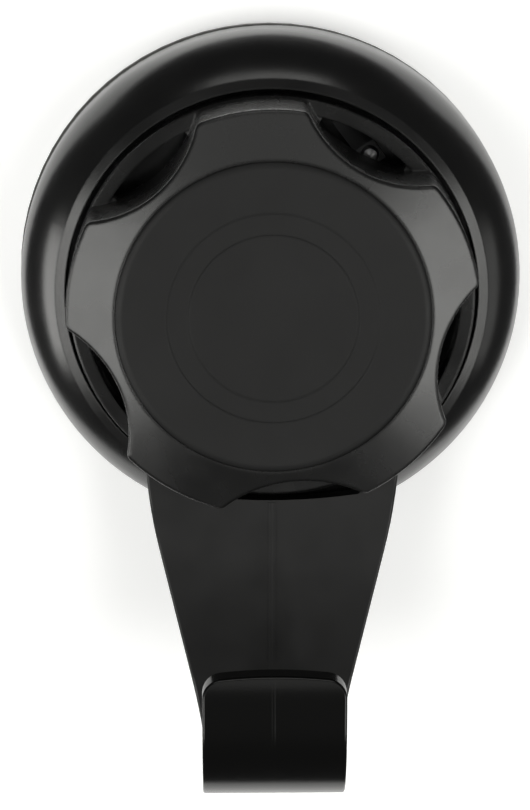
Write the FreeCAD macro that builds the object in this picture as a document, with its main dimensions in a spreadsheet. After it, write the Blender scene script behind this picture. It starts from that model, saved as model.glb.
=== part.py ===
"""Twist-lock vacuum hook: a suction pad drawn outward by a cam under a five-lobed knob.

Working frame of every sub-part: x to the right, y up, z straight out of the wall, with the
centre of the suction face at the origin. WALL_MOUNTED turns that frame so that z is up.
Lengths are millimetres, angles are degrees.
"""
import FreeCAD
import Part
import Sketcher
import math
import os
import re
from FreeCAD import Placement, Rotation, Vector

SIZES = [
    # suction pad
    ("pad_radius", 45.2, "outer radius of the flexible pad"),
    ("gel_radius", 44.8, "radius of the tacky gel face"),
    ("gel_thickness", 0.8, "gel face"),
    ("membrane_thickness", 1.4, "pad between rim and core"),
    ("rim_height", 2.2, "thick rim of the pad, above the gel"),
    ("rim_width", 3.4, "radial width of the thick rim"),
    ("rim_bevel", 0.65, "outer edge of the rim"),
    ("rim_slope", 0.8, "slopes from rim and collar down to the membrane"),
    ("soft_gap", 0.3, "clearance round soft parts"),
    # pad core and draw stud
    ("core_radius", 14.0, "rigid disc bonded into the pad"),
    ("core_thickness", 3.0, "rigid disc"),
    ("core_bevel", 0.6, "upper edge of the rigid disc"),
    ("collar_width", 1.7, "pad lip round the core"),
    ("collar_height", 1.8, "pad lip round the core"),
    ("stud_radius", 4.0, "draw stud shaft"),
    ("stud_flange_radius", 9.0, "stud flange inside the core"),
    ("stud_flange_thickness", 1.5, "stud flange"),
    ("stud_head_room", 4.3, "stud beyond the centre of its cross pin"),
    ("stud_bevel", 0.8, "outer end of the stud"),
    ("pull_travel", 5.0, "how far the stud draws the pad"),
    # housing
    ("housing_radius", 45.0, "outer radius of the housing"),
    ("side_height", 4.8, "straight side below the crown"),
    ("crown_radius", 18.0, "radius of the rounded crown"),
    ("land_inset", 6.8, "from the side of the housing to the crease of the crown"),
    ("land_rise", 0.7, "rise of the land to the recess"),
    ("recess_inset", 8.6, "from the side of the housing to the knob recess"),
    ("wall", 2.2, "moulded wall of the housing"),
    ("floor_level", 15.3, "recess floor above the wall"),
    ("floor_thickness", 2.4, "recess floor"),
    ("tower_radius", 8.4, "central tower that guides the stud"),
    ("tower_top", 32.0, "top of the tower"),
    ("rib_count", 12, "stiffening ribs under the crown"),
    ("rib_thickness", 1.6, "stiffening ribs and knob ribs"),
    ("bush_wall", 1.0, "liner of the tower bore"),
    ("bush_length", 6.0, "liner of the tower bore"),
    ("running_gap", 0.06, "radial clearance of a sliding or turning fit"),
    ("loose_gap", 0.3, "clearance between parts that pass"),
    ("seat_gap", 0.05, "clearance between parts that seat"),
    ("grip_gap", 0.02, "radial clearance of a screw in the hole that holds it"),
    ("weld", 0.4, "how far ribs and bosses run into the wall that carries them"),
    ("cut_margin", 1.0, "how far a cut or a trimmed block runs past its end"),
    # cam and cross pin
    ("washer_thickness", 1.0, "thrust washer and spring washer"),
    ("washer_radius", 15.0, "thrust washer"),
    ("cam_outer", 13.3, "outer radius of the cam ramps"),
    ("cam_flange_radius", 22.6, "flange that screws to the knob"),
    ("cam_flange_thickness", 1.8, "flange that screws to the knob"),
    ("cam_foot", 0.8, "ramp start above the flange"),
    ("cam_turn", 90.0, "turn of the knob from released to locked"),
    ("cam_dwell", 25.0, "flat stretch past each end of a ramp"),
    ("pin_bevel", 0.3, "ends of the cross pin"),
    ("pin_radius", 1.5, "cross pin"),
    ("pin_end", 12.6, "reach of the cross pin from the axis"),
    ("roller_radius", 2.5, "roller on the cross pin"),
    ("roller_length", 3.4, "roller on the cross pin"),
    # knob
    ("knob_gap", 0.9, "knob inside its recess"),
    ("knob_base", 20.8, "back of the knob above the wall"),
    ("knob_rim", 39.8, "front edge of the skirt above the wall"),
    ("knob_wall", 2.0, "moulded wall of the knob"),
    ("lobe_count", 5, "lobes and finger scallops"),
    ("scallop_radius", 21.0, "radius of a finger scallop"),
    ("scallop_offset", 14.7, "centres of the scallops beyond the knob"),
    ("scallop_phase", 60.0, "direction of the first scallop"),
    ("lobe_rounding", 1.6, "rounding of the lobe corners"),
    ("rim_rounding", 0.7, "rounding of the front edge"),
    ("base_ring_width", 2.4, "radial width of the ring behind the scallops"),
    ("base_ring_height", 5.0, "height of that ring"),
    ("base_ring_lip", 0.1, "ring beyond the lobes"),
    ("ring_bevel", 0.25, "edges of that ring"),
    ("face_radius", 27.4, "inner edge of the conical face"),
    ("face_rise", 1.9, "rise of the conical face"),
    ("web_width", 4.9, "web that closes the ends of the windows, inside the ring"),
    ("web_thickness", 3.0, "that web, behind the front of the ring"),
    ("window_half", 8.4, "half width of a window"),
    ("click_count", 40, "click notches behind the ring"),
    ("click_width", 1.2, "click notches"),
    ("click_depth", 0.5, "click notches"),
    ("hub_wall", 2.0, "tube round the cam"),
    ("hub_flange_thickness", 1.8, "inner flange that the retainer holds"),
    # cap and retainer
    ("cap_land", 0.5, "flat cap inside the conical face"),
    ("cap_front", 42.1, "front of the cap above the wall"),
    ("cap_thickness", 3.0, "flat cap"),
    ("cap_rounding", 1.0, "edge of the cap"),
    ("cap_drop", 0.38, "fall of that edge"),
    ("cap_collar_depth", 3.4, "snap collar behind the cap"),
    ("cap_collar_width", 1.2, "snap collar behind the cap"),
    ("cap_ring_inner", 14.5, "inner radius of the shallow ring in the cap"),
    ("cap_ring_outer", 18.2, "outer radius of the shallow ring in the cap"),
    ("cap_ring_depth", 0.12, "shallow ring in the cap"),
    ("retainer_radius", 12.4, "washer that keeps the knob on the tower"),
    ("retainer_thickness", 1.6, "washer that keeps the knob on the tower"),
    # hook arm
    ("arm_back", 23.9, "back of the arm plate above the wall"),
    ("arm_thickness", 3.4, "arm plate"),
    ("arm_top_half", 22.4, "half width of the arm at its shoulders"),
    ("arm_edge_half", 15.2, "half width of the straight part of the top edge"),
    ("arm_edge_rise", 1.1, "ends of that part above its middle"),
    ("arm_edge_radius", 105.0, "curve of the top edge"),
    ("arm_side_radius", 99.8, "curve of the sides below the shoulders"),
    ("arm_flank", 45.5, "where the straight taper starts, below the axis"),
    ("arm_flank_half", 20.1, "half width there"),
    ("arm_taper", 13.08, "slope of each side"),
    ("tip_level", 78.7, "where the taper would meet the width of the lip, below the axis"),
    ("tip_half", 12.4, "half width of the bend and lip"),
    ("arm_blend", 20.0, "curve from the taper into the bend"),
    ("arm_rounding", 0.45, "edges of the arm"),
    ("arm_rib_half", 0.7, "half width of the low rib down the middle"),
    ("arm_rib_height", 0.12, "that rib"),
    ("arm_rib_end", 66.5, "lower end of that rib, below the axis"),
    ("bend_level", 69.2, "centre of the bend below the axis"),
    ("hook_gap", 24.8, "clear opening between arm and lip"),
    ("lip_thickness", 4.2, "lip"),
    ("lip_top", 59.1, "top of the lip below the axis"),
    ("lip_corner_radius", 3.6, "corners of the lip"),
    ("lip_tilt", 6.43, "slope of the lip's top edge where its corners start"),
    ("foot_half", 16.0, "half width of the foot on the crown"),
    ("foot_setback", 0.6, "foot below the top edge of the plate"),
    ("foot_sweep", 6.0, "foot swept down into the back of the plate"),
    ("foot_radius", 14.0, "curve of that sweep"),
    ("arm_shoulder_inset", 14.5, "shoulders inside the side of the housing"),
    ("arm_edge_inset", 8.7, "top edge of the arm inside the side of the housing"),
    ("foot_overhang", 0.2, "foot beyond the side of the housing"),
    # fasteners
    ("screw_radius", 1.15, "shank of the self-tapping screws"),
    ("screw_head_radius", 2.2, "head of the self-tapping screws"),
    ("screw_head_height", 1.4, "head of the self-tapping screws"),
    ("cam_screw_circle", 19.4, "cam screws from the axis"),
    ("cam_screw_length", 9.0, "cam screws"),
    ("retainer_screw_circle", 6.75, "retainer screws from the axis"),
    ("retainer_screw_radius", 0.9, "retainer screws"),
    ("retainer_screw_length", 9.0, "retainer screws"),
    ("hook_screw_inset", 5.7, "hook screws inside the side of the housing"),
    ("hook_screw_spread", 15.0, "hook screws either side of straight down"),
    ("hook_screw_length", 11.5, "hook screws"),
    ("hook_boss_radius", 2.4, "boss under the crown for a hook screw"),
    # spring
    ("spring_wire", 0.8, "diameter of the spring wire"),
    ("spring_top_radius", 6.2, "narrow end of the conical spring"),
    ("spring_foot_radius", 11.0, "wide end of the conical spring"),
    ("spring_seat", 2.0, "spring washer beyond the narrow end of the spring"),
    ("spring_turns", 3, "turns of the conical spring"),
    ("spring_steps", 16, "straight lengths in one turn of the spring"),
    ("spring_sides", 8, "sides of the spring wire"),
    # click pawl
    ("pawl_inset", 6.9, "pawl inside the recess"),
    ("pawl_direction", 54.0, "direction of the pawl"),
    ("pawl_slant", 70.4, "leaf of the pawl from the radius that it stands on"),
    ("pawl_width", 4.0, "pawl"),
    ("pawl_length", 9.0, "pawl"),
    ("pawl_thickness", 1.2, "sprung leaf of the pawl"),
]

CLOSE = 0.02  # two edges or levels count as one within this distance
WALL_MOUNTED = Placement(Vector(0, 0, 0), Rotation(Vector(1, 0, 0), 90))

doc = FreeCAD.newDocument("TwistLockHook")
sheet = doc.addObject("Spreadsheet::Sheet", "Sizes")
for row, (alias, number, meaning) in enumerate(SIZES, start=1):
    sheet.set(f"A{row}", meaning)
    sheet.set(f"B{row}", str(number))
    sheet.setAlias(f"B{row}", alias)
doc.recompute()

# Sizes that follow from others, by name; the sheet holds only the independent ones.
DERIVED = {
    "land_radius": "(housing_radius - land_inset)",
    "recess_radius": "(housing_radius - recess_inset)",
    "knob_radius": "(housing_radius - recess_inset - knob_gap)",
    "cap_radius": "(face_radius - cap_land)",
    "scallop_reach": "(housing_radius - recess_inset - knob_gap + scallop_offset)",
    "hook_screw_circle": "(housing_radius - hook_screw_inset)",
    "arm_shoulder": "(housing_radius - arm_shoulder_inset)",
    "arm_edge": "(housing_radius - arm_edge_inset)",
    "foot_bottom": "(housing_radius + foot_overhang)",
    "pawl_reach": "(housing_radius - recess_inset - pawl_inset)",
}
DERIVED_NAME = re.compile(r"\b(" + "|".join(DERIVED) + r")\b")
ALIAS = re.compile(r"\b(" + "|".join(name for name, _, _ in SIZES) + r")\b")

# Levels above the wall and other sizes that follow from the sheet.
BORE = "(stud_radius + running_gap + bush_wall + running_gap)"
PAD_TOP = "(gel_thickness + membrane_thickness)"
HOUSING_BASE = "(gel_thickness + rim_height + soft_gap)"
CROWN_CENTRE = "(housing_radius - crown_radius)"
CROWN_BASE = f"({HOUSING_BASE} + side_height)"
CORE_BASE = f"({PAD_TOP} + soft_gap)"
CORE_TOP = f"({CORE_BASE} + core_thickness)"
FLANGE_TOP = f"({CORE_BASE} + stud_flange_thickness)"
CEILING = "(floor_level - floor_thickness)"
THRUST_TOP = "(floor_level + seat_gap + washer_thickness)"
CAM_BASE = f"({THRUST_TOP} + seat_gap)"
CAM_FLANGE_TOP = f"({CAM_BASE} + cam_flange_thickness)"
CAM_LOW = f"({CAM_FLANGE_TOP} + cam_foot)"
CAM_HIGH = f"({CAM_LOW} + pull_travel)"
CAM_INNER = "(tower_radius + running_gap)"
CAM_LEAD = "(pull_travel / (cam_turn * pi / 180))"
ROLLER_INNER = "(tower_radius + loose_gap)"
PIN_LEVEL = f"({CAM_LOW} + roller_radius * sqrt(1 + ({CAM_LEAD} / {CAM_INNER})^2) + seat_gap)"
HUB_INNER = "(cam_outer + loose_gap)"
HUB_OUTER = f"({HUB_INNER} + hub_wall)"
HUB_BASE = f"({CAM_FLANGE_TOP} + seat_gap)"
HUB_FLANGE_TOP = "(tower_top - running_gap)"
HUB_FLANGE_BASE = f"({HUB_FLANGE_TOP} - hub_flange_thickness)"
FACE_TOP = "(knob_rim + face_rise)"
CAP_SEAT = "(cap_front - cap_thickness - seat_gap)"
KNOB_CEILING = f"({CAP_SEAT} - knob_wall)"
CAP_HOLE = "(cap_radius + seat_gap)"
ARM_FRONT = "(arm_back + arm_thickness)"
LIP_BACK = f"({ARM_FRONT} + hook_gap)"
LIP_FRONT = f"({LIP_BACK} + lip_thickness)"
BEND_OUTER = f"(({LIP_FRONT} - arm_back) / 2)"
BEND_INNER = "(hook_gap / 2)"
BEND_MIDDLE = f"((arm_back + {LIP_FRONT}) / 2)"
HOOK_MIDDLE = f"({ARM_FRONT} + {BEND_INNER})"


def formula(text):
    """The expression that FreeCAD binds, with each alias read from the sheet."""
    text = DERIVED_NAME.sub(lambda found: DERIVED[found.group(1)], str(text))
    return ALIAS.sub(r"Sizes.\1", text)


def size(text):
    """The value of a formula now, in millimetres or degrees."""
    return float(sheet.evalExpression(formula(text)))


def bind(target, name, text):
    target.setExpression(name, formula(text))


def origin_feature(body, role):
    return next(item for item in body.Origin.OriginFeatures if item.Role == role)


def new_body(label):
    body = doc.addObject("PartDesign::Body", label)
    body.Label = label
    body.AllowCompound = True
    return body


def new_sketch(body, name, role, offset="0"):
    sketch = body.newObject("Sketcher::SketchObject", name)
    sketch.AttachmentSupport = [(origin_feature(body, role), "")]
    sketch.MapMode = "FlatFace"
    bind(sketch, "AttachmentOffset.Base.z", offset)
    return sketch


def constrain(sketch, kind, *where, text=None):
    if text is None:
        sketch.addConstraint(Sketcher.Constraint(kind, *where))
        return
    index = sketch.addConstraint(Sketcher.Constraint(kind, *where, size(text)))
    sketch.setExpression(f"Constraints[{index}]", formula(text))


def pin_point(sketch, geometry, end, x_text, y_text):
    """Fix one end of a sketch line or arc, or the centre of a circle, at (x, y)."""
    for kind, axis, text in (("DistanceX", -2, x_text), ("DistanceY", -1, y_text)):
        if str(text) == "0":
            constrain(sketch, "PointOnObject", geometry, end, axis)
        else:
            constrain(sketch, kind, -1, 1, geometry, end, text=text)


def bent_run(start, stop, radius):
    """An arc from start to stop; its centre lies to the left where radius is positive."""
    chord = stop - start
    left = Vector(-chord.y, chord.x, 0).normalize()
    rise = math.sqrt(max(radius * radius - chord.Length ** 2 / 4, 0))
    centre = (start + stop) * 0.5 + left * (rise if radius > 0 else -rise)
    first, last = (start, stop) if radius > 0 else (stop, start)
    circle = Part.Circle(centre, Vector(0, 0, 1), abs(radius))
    return Part.ArcOfCircle(circle, circle.parameter(first), circle.parameter(last))


def outline(sketch, corners, bends=None):
    """A closed outline through corners; bends gives the radius of the runs that are arcs."""
    bends = bends or {}
    points = [Vector(size(x), size(y), 0) for x, y in corners]
    ends = []
    for index, start in enumerate(points):
        stop = points[(index + 1) % len(points)]
        if index in bends:
            radius = size(bends[index])
            run = sketch.addGeometry(bent_run(start, stop, radius), False)
            ends.append((run, 1, 2) if radius > 0 else (run, 2, 1))
        else:
            run = sketch.addGeometry(Part.LineSegment(start, stop), False)
            ends.append((run, 1, 2))
    for index, (run, first, last) in enumerate(ends):
        following, following_first, _ = ends[(index + 1) % len(ends)]
        constrain(sketch, "Coincident", run, last, following, following_first)
        pin_point(sketch, run, first, *corners[index])
        if index in bends:
            constrain(sketch, "Radius", run, text=f"abs({bends[index]})")


def circle(sketch, x_text, y_text, radius_text):
    centre = Vector(size(x_text), size(y_text), 0)
    loop = sketch.addGeometry(Part.Circle(centre, Vector(0, 0, 1), size(radius_text)), False)
    pin_point(sketch, loop, 3, x_text, y_text)
    constrain(sketch, "Radius", loop, text=radius_text)


def turned(label, corners, bends=None):
    """A body of revolution about z from its half section, given as (radius, level)."""
    body = new_body(label)
    sketch = new_sketch(body, label + "_section", "XZ_Plane")
    outline(sketch, corners, bends)
    revolution = body.newObject("PartDesign::Revolution", label + "_turned")
    revolution.Profile = sketch
    revolution.ReferenceAxis = (sketch, ["V_Axis"])
    revolution.Angle = 360
    doc.recompute()
    return body


def collar(label, inner, outer, base, top):
    """A plain ring between two radii and two levels."""
    return turned(label, [(inner, base), (outer, base), (outer, top), (inner, top)])


def pad_on(body, name, role, draw, length, offset="0", symmetric=False):
    """Add an extrusion of the outline that draw puts in a new sketch."""
    sketch = new_sketch(body, name + "_outline", role, offset)
    draw(sketch)
    pad = body.newObject("PartDesign::Pad", name)
    pad.Profile = sketch
    bind(pad, "Length", length)
    pad.Midplane = symmetric
    doc.recompute()
    return pad


def pocket_in(body, name, role, draw, length, offset="0", reverse=False):
    """Cut an extrusion of the outline that draw puts in a new sketch."""
    sketch = new_sketch(body, name + "_outline", role, offset)
    draw(sketch)
    before = body.Shape.Volume
    pocket = body.newObject("PartDesign::Pocket", name)
    pocket.Profile = sketch
    bind(pocket, "Length", length)
    pocket.Reversed = reverse
    doc.recompute()
    if body.Shape.Volume > before - CLOSE ** 3:
        raise RuntimeError(f"{name} cuts nothing")
    return pocket


def repeat(body, name, originals, count):
    """Copy features evenly round z."""
    pattern = body.newObject("PartDesign::PolarPattern", name)
    pattern.Originals = originals
    pattern.Axis = (origin_feature(body, "Z_Axis"), [""])
    pattern.Angle = 360
    bind(pattern, "Occurrences", count)
    body.Tip = pattern
    doc.recompute()
    return pattern


def is_straight(edge):
    return edge.Curve.TypeId == "Part::GeomLine"


def edges_where(shape, wanted):
    return [f"Edge{n}" for n, edge in enumerate(shape.Edges, start=1) if wanted(edge)]


def bevel_edges(body, name, wanted, width):
    base = body.Tip
    chamfer = body.newObject("PartDesign::Chamfer", name)
    chamfer.Base = (base, edges_where(base.Shape, wanted))
    bind(chamfer, "Size", width)
    doc.recompute()
    return chamfer


def cylinder(name, radius, height, x="0", y="0", z="0"):
    solid = doc.addObject("Part::Cylinder", name)
    bind(solid, "Radius", radius)
    bind(solid, "Height", height)
    for axis, text in (("x", x), ("y", y), ("z", z)):
        bind(solid, f"Placement.Base.{axis}", text)
    return solid


def cut(name, base, tool):
    result = doc.addObject("Part::Cut", name)
    result.Base = base
    result.Tool = tool
    doc.recompute()
    return result


def join(name, solids):
    result = doc.addObject("Part::MultiFuse", name)
    result.Shapes = solids
    doc.recompute()
    return result


def common(name, first, second):
    result = doc.addObject("Part::Common", name)
    result.Base = first
    result.Tool = second
    doc.recompute()
    return result


# ---------------------------------------------------------------- pad, core and stud
def make_gel_layer():
    return turned("gel_layer", [("0", "0"), ("gel_radius", "0"), ("gel_radius", "gel_thickness"),
                                ("0", "gel_thickness")])


def make_suction_pad():
    rim_top = "(gel_thickness + rim_height)"
    rim_inner = "(pad_radius - rim_width)"
    collar_inner = "(core_radius + soft_gap)"
    collar_outer = "(core_radius + soft_gap + collar_width)"
    collar_top = f"({PAD_TOP} + collar_height)"
    return turned("suction_pad", [
        ("0", "gel_thickness"), ("pad_radius", "gel_thickness"),
        ("pad_radius", f"{rim_top} - rim_bevel"), ("pad_radius - rim_bevel", rim_top),
        (rim_inner, rim_top), (f"{rim_inner} - rim_slope", PAD_TOP),
        (f"{collar_outer} + rim_slope", PAD_TOP), (collar_outer, collar_top),
        (collar_inner, collar_top), (collar_inner, PAD_TOP), ("0", PAD_TOP)])


def make_pad_core():
    flange_hole = "stud_flange_radius + seat_gap"
    flange_roof = f"{FLANGE_TOP} + seat_gap"
    shaft_hole = "stud_radius + seat_gap"
    return turned("pad_core", [
        (flange_hole, CORE_BASE), ("core_radius", CORE_BASE), ("core_radius", f"{CORE_TOP} - core_bevel"),
        ("core_radius - core_bevel", CORE_TOP), (shaft_hole, CORE_TOP), (shaft_hole, flange_roof),
        (flange_hole, flange_roof)])


def make_draw_stud():
    top = f"{PIN_LEVEL} + stud_head_room"
    body = turned("draw_stud", [
        ("0", CORE_BASE), ("stud_flange_radius", CORE_BASE), ("stud_flange_radius", FLANGE_TOP),
        ("stud_radius", FLANGE_TOP), ("stud_radius", f"{top} - stud_bevel"),
        ("stud_radius - stud_bevel", top), ("0", top)])
    pocket_in(body, "pin_hole", "YZ_Plane",
              lambda sketch: circle(sketch, "0", PIN_LEVEL, "pin_radius + running_gap / 2"),
              "4 * stud_radius", offset="2 * stud_radius")
    return body


def make_return_spring():
    """A conical compression spring, so that it closes nearly flat; a swept coil has no body form."""
    base = size(f"{CORE_TOP} + seat_gap + spring_wire / 2")
    top = size(f"{CEILING} - washer_thickness - 2 * seat_gap - spring_wire / 2")
    narrow, wide = size("spring_top_radius"), size("spring_foot_radius")
    steps = round(size("spring_turns * spring_steps"))
    path = []
    for step in range(steps + 1):
        part_way = step / steps
        turn = Rotation(Vector(0, 0, 1), 360 * size("spring_turns") * part_way)
        path.append(turn.multVec(Vector(wide + (narrow - wide) * part_way, 0, 0))
                    + Vector(0, 0, base + (top - base) * part_way))
    along = (path[1] - path[0]).normalize()
    out = Vector(1, 0, 0)
    out = (out - along * out.dot(along)).normalize() * size("spring_wire / 2")
    section = []
    for side in range(round(size("spring_sides")) + 1):
        section.append(path[0] + Rotation(along, 360 * side / size("spring_sides")).multVec(out))
    right_corners = 1
    spring = doc.addObject("Part::Feature", "return_spring")
    spring.Label = "return_spring"
    spring.Shape = Part.Wire(Part.makePolygon(path)).makePipeShell(
        [Part.Wire(Part.makePolygon(section))], True, False, right_corners)
    spring.Placement = WALL_MOUNTED
    return spring


def make_spring_washer():
    return collar("spring_washer", "stud_radius + loose_gap", "spring_top_radius + spring_seat",
                  f"{CEILING} - seat_gap - washer_thickness", f"{CEILING} - seat_gap")


# ---------------------------------------------------------------- housing
def hook_screw_place(side):
    """Where a hook screw stands, right (1) or left (-1) of the middle."""
    return (f"{side} * hook_screw_circle * sin(hook_screw_spread)",
            "-hook_screw_circle * cos(hook_screw_spread)")


def make_housing():
    crown_end = f"{CROWN_BASE} + sqrt(crown_radius^2 - (land_radius - {CROWN_CENTRE})^2)"
    inner_crown = "(crown_radius - wall)"
    recess_back = "(recess_radius + wall)"
    inner_end = f"{CROWN_BASE} + sqrt({inner_crown}^2 - ({recess_back} - {CROWN_CENTRE})^2)"
    half_lean = f"(acos(({recess_back} - {CROWN_CENTRE}) / {inner_crown}) / 2)"
    halfway = (f"{CROWN_CENTRE} + {inner_crown} * cos{half_lean}",
               f"{CROWN_BASE} + {inner_crown} * sin{half_lean}")
    body = turned("housing", [
        ("housing_radius", HOUSING_BASE), ("housing_radius", CROWN_BASE), ("land_radius", crown_end),
        ("recess_radius", f"{crown_end} + land_rise"), ("recess_radius", "floor_level"),
        ("tower_radius", "floor_level"), ("tower_radius", "tower_top"), (BORE, "tower_top"),
        (BORE, CEILING), (recess_back, CEILING), (recess_back, inner_end), halfway,
        ("housing_radius - wall", CROWN_BASE), ("housing_radius - wall", HOUSING_BASE)],
        bends={1: "crown_radius"})

    rib_crown = f"({inner_crown} + weld)"
    rib_end = f"{CROWN_BASE} + sqrt({rib_crown}^2 - ({recess_back} - weld - {CROWN_CENTRE})^2)"
    rib = pad_on(body, "rib", "XZ_Plane", lambda sketch: outline(sketch, [
        (f"{recess_back} - weld", f"{CEILING} + weld"),
        (f"{CROWN_CENTRE} + {rib_crown}", CROWN_BASE), (f"{recess_back} - weld", rib_end)],
        bends={1: rib_crown}), "rib_thickness", symmetric=True)
    repeat(body, "ribs", [rib], "rib_count")

    slot_base = f"{PIN_LEVEL} - pin_radius - loose_gap"
    pin_gap = "(pin_radius + running_gap)"
    pocket_in(body, "pin_slots", "YZ_Plane", lambda sketch: outline(sketch, [
        (f"-{pin_gap}", slot_base), (pin_gap, slot_base), (pin_gap, "tower_top + cut_margin"),
        (f"-{pin_gap}", "tower_top + cut_margin")]), "4 * tower_radius", offset="2 * tower_radius")

    for side in (1, -1):
        where = f"{side} * retainer_screw_circle"
        pocket_in(body, f"retainer_hole_{side + 1}", "XY_Plane",
                  lambda sketch: circle(sketch, "0", where, "retainer_screw_radius + grip_gap"),
                  "retainer_screw_length + cut_margin", offset="tower_top")
    outermost = f"(hook_screw_circle + hook_boss_radius - {CROWN_CENTRE})"
    skin = f"{CROWN_BASE} + sqrt(crown_radius^2 - {outermost}^2) - seat_gap"
    for side in (1, -1):
        across, down = hook_screw_place(side)
        pad_on(body, f"hook_boss_{side + 1}", "XY_Plane",
               lambda sketch: circle(sketch, across, down, "hook_boss_radius"),
               f"{skin} - {CEILING}", offset=CEILING)
        pocket_in(body, f"hook_hole_{side + 1}", "XY_Plane",
                  lambda sketch: circle(sketch, across, down, "screw_radius + running_gap"),
                  "2 * crown_radius", offset="2 * crown_radius")
    pocket_in(body, "pawl_hole", "XY_Plane", lambda sketch: circle(
        sketch, "pawl_reach * cos(pawl_direction)", "pawl_reach * sin(pawl_direction)",
        "screw_radius + grip_gap"), "floor_thickness + 2 * cut_margin", offset="floor_level + cut_margin")
    return body


def make_stud_bush():
    return collar("stud_bush", "stud_radius + running_gap", "stud_radius + running_gap + bush_wall",
                  CEILING, f"{CEILING} + bush_length")


# ---------------------------------------------------------------- cam and cross pin
def make_thrust_washer():
    return collar("thrust_washer", "tower_radius + loose_gap", "washer_radius",
                  "floor_level + seat_gap", THRUST_TOP)


def make_cam_ring():
    """Two ramps, half a turn apart, that lift the cross pin; a helicoid has no body form."""
    inner, outer = size(CAM_INNER), size("cam_outer")
    low, high = size(CAM_LOW), size(CAM_HIGH)
    turn, dwell = size("cam_turn"), size("cam_dwell")
    base, flange_top = size(CAM_BASE), size(CAM_FLANGE_TOP)
    flange = Part.makeCylinder(size("cam_flange_radius"), flange_top - base, Vector(0, 0, base))
    blank = flange.fuse(Part.makeCylinder(outer, high - base, Vector(0, 0, base)))
    blank = blank.cut(Part.makeCylinder(inner, high, Vector(0, 0, 0)))
    margin = size("loose_gap")
    lead = (high - low) * 360 / turn
    rails = [Part.makeHelix(lead, high - low, radius) for radius in (inner - margin, outer + margin)]
    ramp = Part.makeRuledSurface(rails[0].Edges[0], rails[1].Edges[0])
    above_ramp = ramp.extrude(Vector(0, 0, high))
    above_ramp.translate(Vector(0, 0, low))
    gap = 180 - turn - dwell
    above_low = Part.makeCylinder(outer + margin, high, Vector(0, 0, low), Vector(0, 0, 1), gap)
    above_low.rotate(Vector(0, 0, 0), Vector(0, 0, 1), -gap)
    for half in (0, 180):
        for tool in (above_ramp, above_low):
            turned_tool = tool.copy()
            turned_tool.rotate(Vector(0, 0, 0), Vector(0, 0, 1), half)
            blank = blank.cut(turned_tool)
    for number in range(3):
        place = Rotation(Vector(0, 0, 1), screw_direction(number)).multVec(
            Vector(size("cam_screw_circle"), 0, base - margin))
        blank = blank.cut(Part.makeCylinder(size("screw_radius + seat_gap"), high, place))
        head = Part.makeCone(size("screw_head_radius + seat_gap"), size("screw_radius + seat_gap"),
                             size("screw_head_height"), Vector(place.x, place.y, base))
        blank = blank.cut(head)
    cam = doc.addObject("Part::Feature", "cam_ring")
    cam.Label = "cam_ring"
    cam.Shape = blank.removeSplitter()
    cam.Placement = WALL_MOUNTED
    return cam


def screw_direction(number):
    return 90 + 120 * number


def fastener(label, circle_text, first_direction, count, seat, length, shank, head, head_height,
             points_up=True, countersunk=False):
    """Identical screws evenly round the axis, each a separate solid."""
    way = "1" if points_up else "-1"
    body = new_body(label)
    sketch = new_sketch(body, label + "_section", "XZ_Plane")
    under_head = f"{seat} + {way} * {head_height}" if countersunk else seat
    head_end = seat if countersunk else f"{seat} - {way} * {head_height}"
    tip = f"{seat} + {way} * {length}"
    corners = [(circle_text, head_end), (f"{circle_text} + {head}", head_end)]
    if not countersunk:
        corners.append((f"{circle_text} + {head}", under_head))
    corners += [(f"{circle_text} + {shank}", under_head),
                (f"{circle_text} + {shank}", f"{tip} - {way} * {shank}"), (circle_text, tip)]
    outline(sketch, corners)
    axis = sketch.addGeometry(Part.LineSegment(Vector(size(circle_text), 0, 0),
                                               Vector(size(circle_text), 1, 0)), True)
    constrain(sketch, "Vertical", axis)
    pin_point(sketch, axis, 1, circle_text, "0")
    constrain(sketch, "DistanceY", axis, 1, axis, 2, 1.0)
    screw = body.newObject("PartDesign::Revolution", label + "_turned")
    screw.Profile = sketch
    screw.ReferenceAxis = (sketch, ["Axis0"])
    screw.Angle = 360
    doc.recompute()
    repeat(body, label + "_set", [screw], count)
    body.Placement = Placement(Vector(0, 0, 0), Rotation(Vector(0, 0, 1), first_direction))
    return body


def make_cam_screws():
    return fastener("cam_screws", "cam_screw_circle", screw_direction(0), "3", CAM_BASE,
                    "cam_screw_length", "screw_radius", "screw_head_radius", "screw_head_height",
                    countersunk=True)


def make_cross_pin():
    body = new_body("cross_pin")
    pad_on(body, "pin", "YZ_Plane", lambda sketch: circle(sketch, "0", PIN_LEVEL, "pin_radius"),
           "2 * pin_end", symmetric=True)
    bevel_edges(body, "pin_ends", lambda edge: True, "pin_bevel")
    return body


def make_pin_rollers():
    """Two rollers, one on each end of the cross pin."""
    body = new_body("pin_rollers")

    def roller_outline(sketch):
        circle(sketch, "0", PIN_LEVEL, "roller_radius")
        circle(sketch, "0", PIN_LEVEL, "pin_radius + running_gap")

    roller = pad_on(body, "roller", "YZ_Plane", roller_outline, "roller_length", offset=ROLLER_INNER)
    repeat(body, "roller_pair", [roller], "2")
    return body


# ---------------------------------------------------------------- knob
def scallops(name, radius, base, height):
    """Five upright cylinders that bite the knob's edge."""
    places = [f"(scallop_phase + {k} * 360 / lobe_count)" for k in range(round(size("lobe_count")))]
    return join(name, [
        cylinder(f"{name}_{k}", radius, height, f"scallop_reach * cos{place}",
                 f"scallop_reach * sin{place}", base)
        for k, place in enumerate(places)])


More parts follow.
